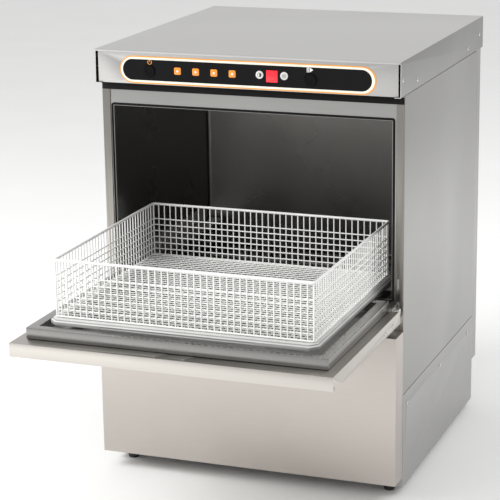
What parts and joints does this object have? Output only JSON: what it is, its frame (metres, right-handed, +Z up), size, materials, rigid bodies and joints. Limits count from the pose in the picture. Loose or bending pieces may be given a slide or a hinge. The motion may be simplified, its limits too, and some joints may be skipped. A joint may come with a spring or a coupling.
{
  "type": "glass washer machine",
  "caption": "Front-loading commercial glass washer with a drop-down door, spray arms above and below, and a wire glass rack resting on the open door.",
  "frame": {"origin": "on the floor under the middle of the machine's footprint with the door open", "axes": "+X to the machine's right seen from the front, +Y to the back, +Z up"},
  "size_m": [0.6032, 1.002, 0.835],
  "materials": {
    "brushed_panel": "fine brushed stainless sheet",
    "frame_steel": "plain stainless sheet",
    "door_steel": "brushed stainless sheet, warm",
    "liner_steel": "pressed stainless sheet, satin",
    "chamber_steel": "pressed stainless sheet, satin",
    "bright_steel": "polished stainless",
    "black_rubber": "matt",
    "black_plastic": "matt moulded",
    "label_film": "printed polyester film",
    "lamp_plastic": "translucent moulded",
    "display_red": "tinted window",
    "circuit_board": "solder resist",
    "button_black": "moulded",
    "key_plastic": "moulded",
    "pipe_steel": "drawn tube",
    "arm_steel": "pressed stainless",
    "motor_grey": "painted casting",
    "rinse_tube": "drawn copper tube",
    "pale_plastic": "moulded",
    "dark_plastic": "moulded",
    "copper_bulb": "turned",
    "rack_white": "plastic-coated wire"
  },
  "bodies": {
    "cabinet": {"chassis_base": "frame_steel", "adjustable_feet": "black_plastic", "front_frame": "frame_steel", "lower_front_panel": "brushed_panel", "side_panel_left": "brushed_panel", "side_panel_right": "brushed_panel", "lower_side_panel_left": "brushed_panel", "lower_side_panel_right": "brushed_panel", "rear_panel": "frame_steel", "rear_cover": "brushed_panel", "panel_screws": "bright_steel", "hood": "brushed_panel", "fascia": "brushed_panel", "fascia_label": "label_film", "lamp_lenses": "lamp_plastic", "display_window": "display_red", "control_board": "circuit_board", "seal_strip": "black_rubber", "door_gasket": "black_rubber", "hinge_brackets": "frame_steel", "wash_chamber": "chamber_steel", "rack_rails": "frame_steel", "wash_tank": "chamber_steel", "tank_filter": "chamber_steel", "tank_element": "pipe_steel", "lower_spray_hub": "black_plastic", "upper_spray_hub": "black_plastic", "wash_riser": "pipe_steel", "suction_hose": "black_rubber", "pump_volute": "black_plastic", "pump_motor": "motor_grey", "boiler": "pipe_steel", "boiler_element": "pipe_steel", "rinse_pipe": "rinse_tube", "inlet_valve": "pale_plastic", "drain_pipe": "dark_plastic", "rinse_aid_doser": "pale_plastic", "thermostats": "copper_bulb", "pressure_switch": "pale_plastic", "terminal_box": "pale_plastic", "cable_gland": "black_plastic"},
    "door": {"door_shell": "door_steel", "door_liner": "liner_steel", "hinge_pins": "bright_steel", "door_screws": "bright_steel"},
    "rack": {"rack_basket": "rack_white", "rack_base": "rack_white"},
    "power_button": {"power_button": "button_black"},
    "start_button": {"start_button": "button_black"},
    "key_left": {"key_left": "key_plastic"},
    "key_right": {"key_right": "key_plastic"},
    "lower_wash_arm": {"lower_wash_arm": "arm_steel"},
    "lower_rinse_arm": {"lower_rinse_arm": "arm_steel"},
    "upper_wash_arm": {"upper_wash_arm": "arm_steel"},
    "upper_rinse_arm": {"upper_rinse_arm": "arm_steel"},
    "pump_rotor": {"pump_rotor": "pipe_steel"},
    "overflow_standpipe": {"overflow_standpipe": "dark_plastic"}
  },
  "joints": [
    {"name": "door_hinge", "type": "hinge", "parent": "cabinet", "child": "door", "pos_m": [0, -0.107, 0.371], "axis": [-1, 0, 0], "range_deg": [0, 90]},
    {"name": "rack_lift", "type": "slide", "parent": "cabinet", "child": "rack", "axis": [0, -0.5, 0.866], "range_m": [0, 0.7001]},
    {"name": "power_button_press", "type": "slide", "parent": "cabinet", "child": "power_button", "axis": [0, 1, 0], "range_m": [0, 0.0025], "stiffness_N_per_m": 400},
    {"name": "start_button_press", "type": "slide", "parent": "cabinet", "child": "start_button", "axis": [0, 1, 0], "range_m": [0, 0.0025], "stiffness_N_per_m": 400},
    {"name": "key_left_press", "type": "slide", "parent": "cabinet", "child": "key_left", "axis": [0, 1, 0], "range_m": [0, 0.0025], "stiffness_N_per_m": 400},
    {"name": "key_right_press", "type": "slide", "parent": "cabinet", "child": "key_right", "axis": [0, 1, 0], "range_m": [0, 0.0025], "stiffness_N_per_m": 400},
    {"name": "lower_wash_arm_spin", "type": "hinge", "parent": "cabinet", "child": "lower_wash_arm", "pos_m": [0, 0.153, 0.352], "axis": [0, 0, 1], "continuous": true},
    {"name": "lower_rinse_arm_spin", "type": "hinge", "parent": "cabinet", "child": "lower_rinse_arm", "pos_m": [0, 0.153, 0.37], "axis": [0, 0, 1], "continuous": true},
    {"name": "upper_wash_arm_spin", "type": "hinge", "parent": "cabinet", "child": "upper_wash_arm", "pos_m": [0, 0.153, 0.724], "axis": [0, 0, 1], "continuous": true},
    {"name": "upper_rinse_arm_spin", "type": "hinge", "parent": "cabinet", "child": "upper_rinse_arm", "pos_m": [0, 0.153, 0.706], "axis": [0, 0, 1], "continuous": true},
    {"name": "pump_rotor_spin", "type": "hinge", "parent": "cabinet", "child": "pump_rotor", "pos_m": [0, 0.153, 0.095], "axis": [1, 0, 0], "continuous": true},
    {"name": "standpipe_lift", "type": "slide", "parent": "cabinet", "child": "overflow_standpipe", "axis": [0, 0, 1], "range_m": [0, 0.1]}
  ],
  "couplings": [
    {"joint": "rack_lift", "follows": "door_hinge", "m_per_rad": 0.4456}
  ]
}
